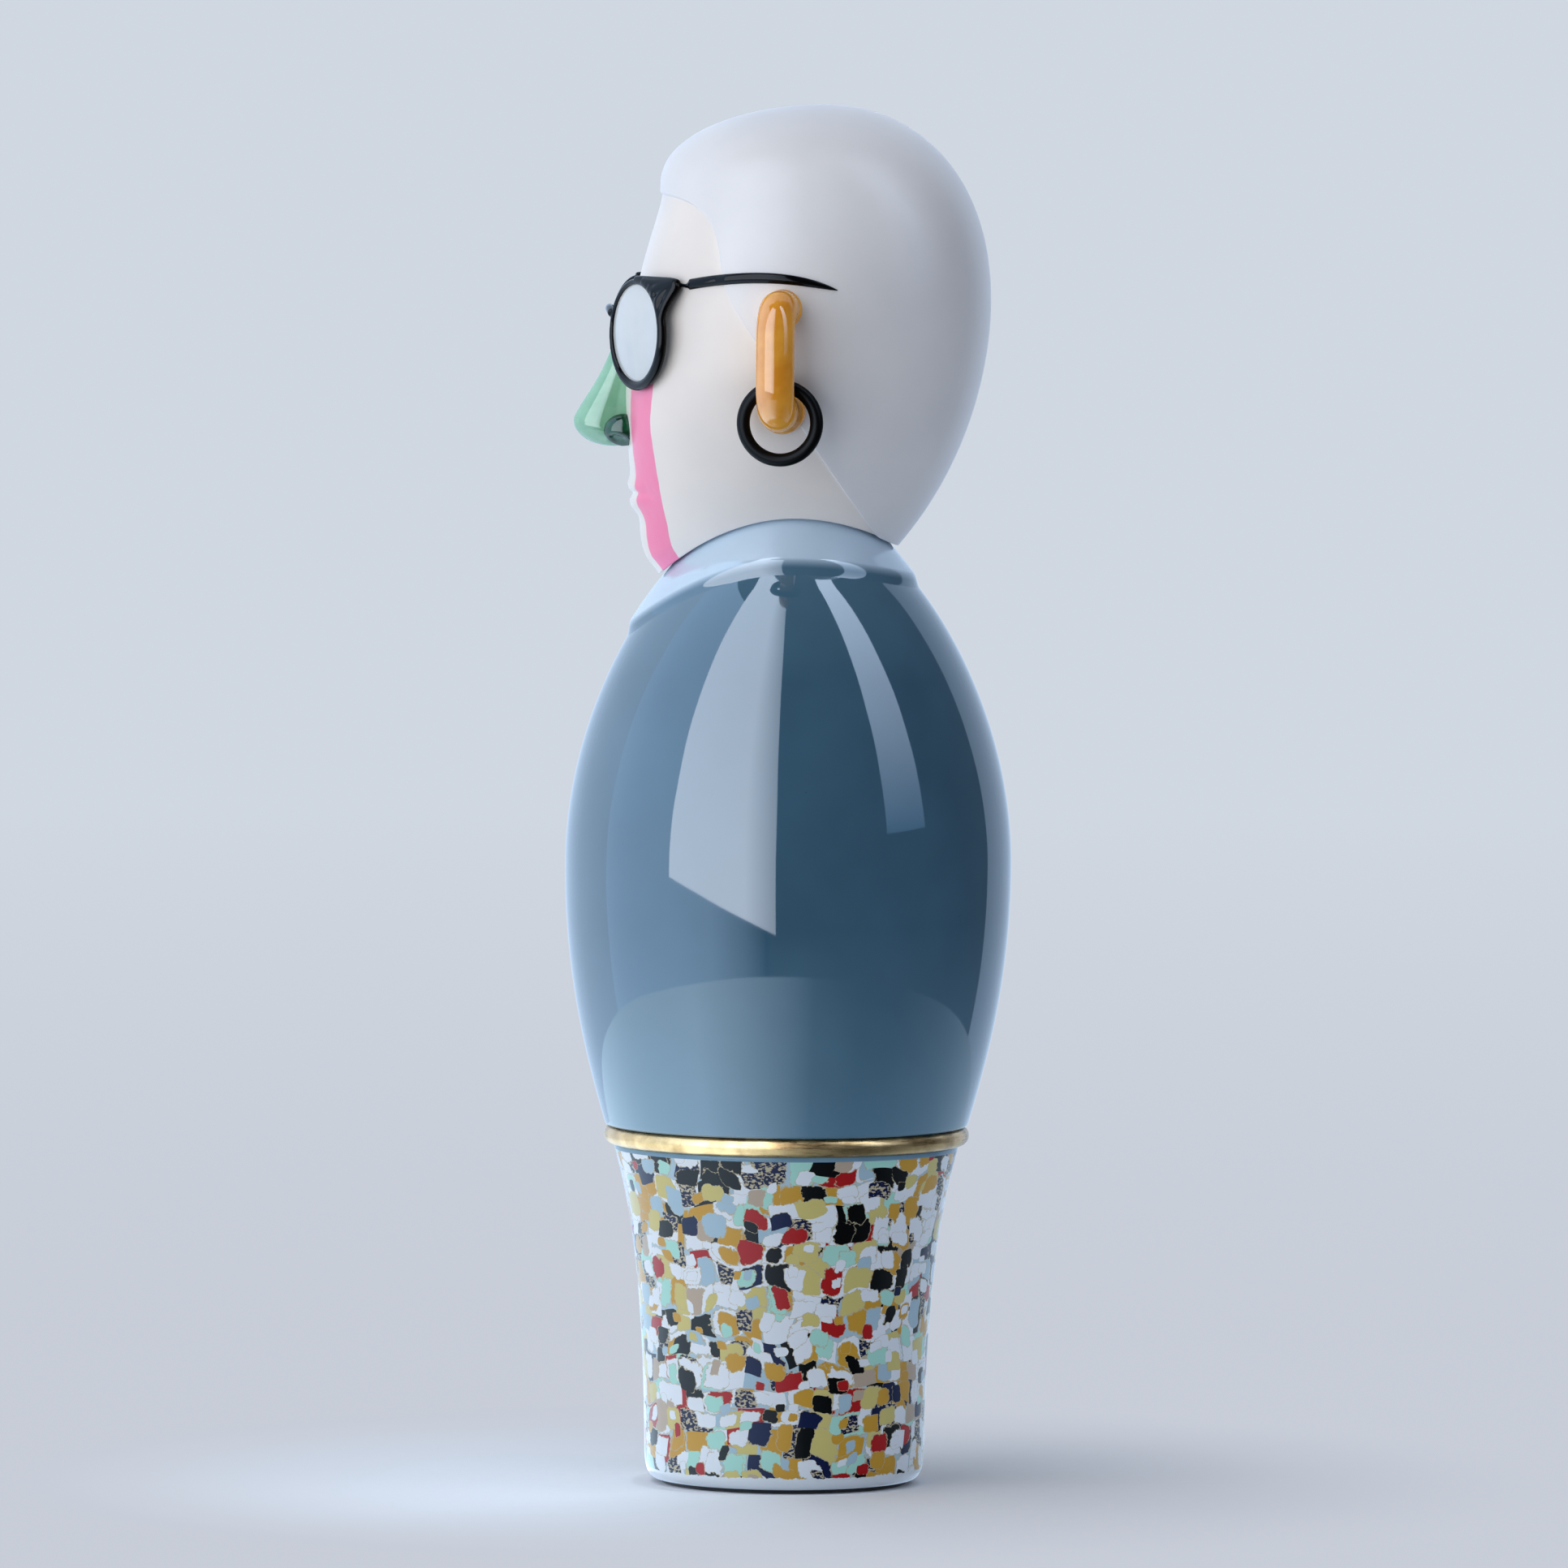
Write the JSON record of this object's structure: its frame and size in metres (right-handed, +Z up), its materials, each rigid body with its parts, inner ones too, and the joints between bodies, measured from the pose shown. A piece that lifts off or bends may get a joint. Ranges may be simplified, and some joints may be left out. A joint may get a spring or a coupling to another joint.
{
  "type": "art figurine",
  "caption": "Glazed ceramic art figurine: an egg-shaped jacket on a flared mosaic cup, with a head that turns, round glasses, loop ears and swinging ring earrings.",
  "frame": {"origin": "on the floor plane, at the middle of the foot ring and on the jacket's axis", "axes": "+Z up along the jacket's axis, -Y out of the face, +X out of the figure's left ear"},
  "size_m": [0.1314, 0.1294, 0.4],
  "materials": {
    "foot_felt": "black felt",
    "mosaic_decal": "many-coloured overglaze decal of small dabs under a soft gloss",
    "gold_lustre": "brushed gold lustre on glazed ceramic",
    "blue_glaze": "high gloss slate-blue glaze with fine specks",
    "bisque": "unglazed bisque",
    "black_rubber": "matte black rubber",
    "white_gloss_glaze": "soft gloss warm white glaze with painted pink cheek stripes",
    "white_satin_glaze": "satin cool white glaze with fine orange peel",
    "green_glaze": "glossy pale green glaze",
    "dark_green_glaze": "glossy dark green glaze",
    "black_glaze": "high gloss black glaze",
    "opal_glaze": "smooth opaque bluish white glaze",
    "yellow_glaze": "glossy translucent amber-yellow glaze"
  },
  "bodies": {
    "figure": {"foot_pad": "foot_felt", "base_cup": "mosaic_decal", "gilded_ring": "gold_lustre", "jacket_shell": "blue_glaze", "collar_band": "blue_glaze", "neck_spigot": "bisque", "neck_washer": "black_rubber"},
    "head": {"head_shell": "white_gloss_glaze", "hair_cap": "white_satin_glaze", "neck_socket": "bisque", "nose": "green_glaze", "nostril_left": "dark_green_glaze", "nostril_right": "dark_green_glaze", "glasses_frame": "black_glaze", "lens_left": "opal_glaze", "lens_right": "opal_glaze", "temple_left": "black_glaze", "temple_right": "black_glaze", "ear_left": "yellow_glaze", "ear_right": "yellow_glaze"},
    "earring_left": {"earring_left": "black_rubber"},
    "earring_right": {"earring_right": "black_rubber"}
  },
  "joints": [
    {"name": "head_turn", "type": "hinge", "parent": "figure", "child": "head", "pos_m": [0, 0, 0.2834], "axis": [0, 0, 1], "continuous": true},
    {"name": "earring_left_swing", "type": "hinge", "parent": "head", "child": "earring_left", "pos_m": [0.0496, -0.00331, 0.3125], "axis": [0.9903, -0.1392, 0], "continuous": true},
    {"name": "earring_right_swing", "type": "hinge", "parent": "head", "child": "earring_right", "pos_m": [-0.0496, -0.00331, 0.3125], "axis": [0.9903, 0.1392, 0], "continuous": true}
  ]
}
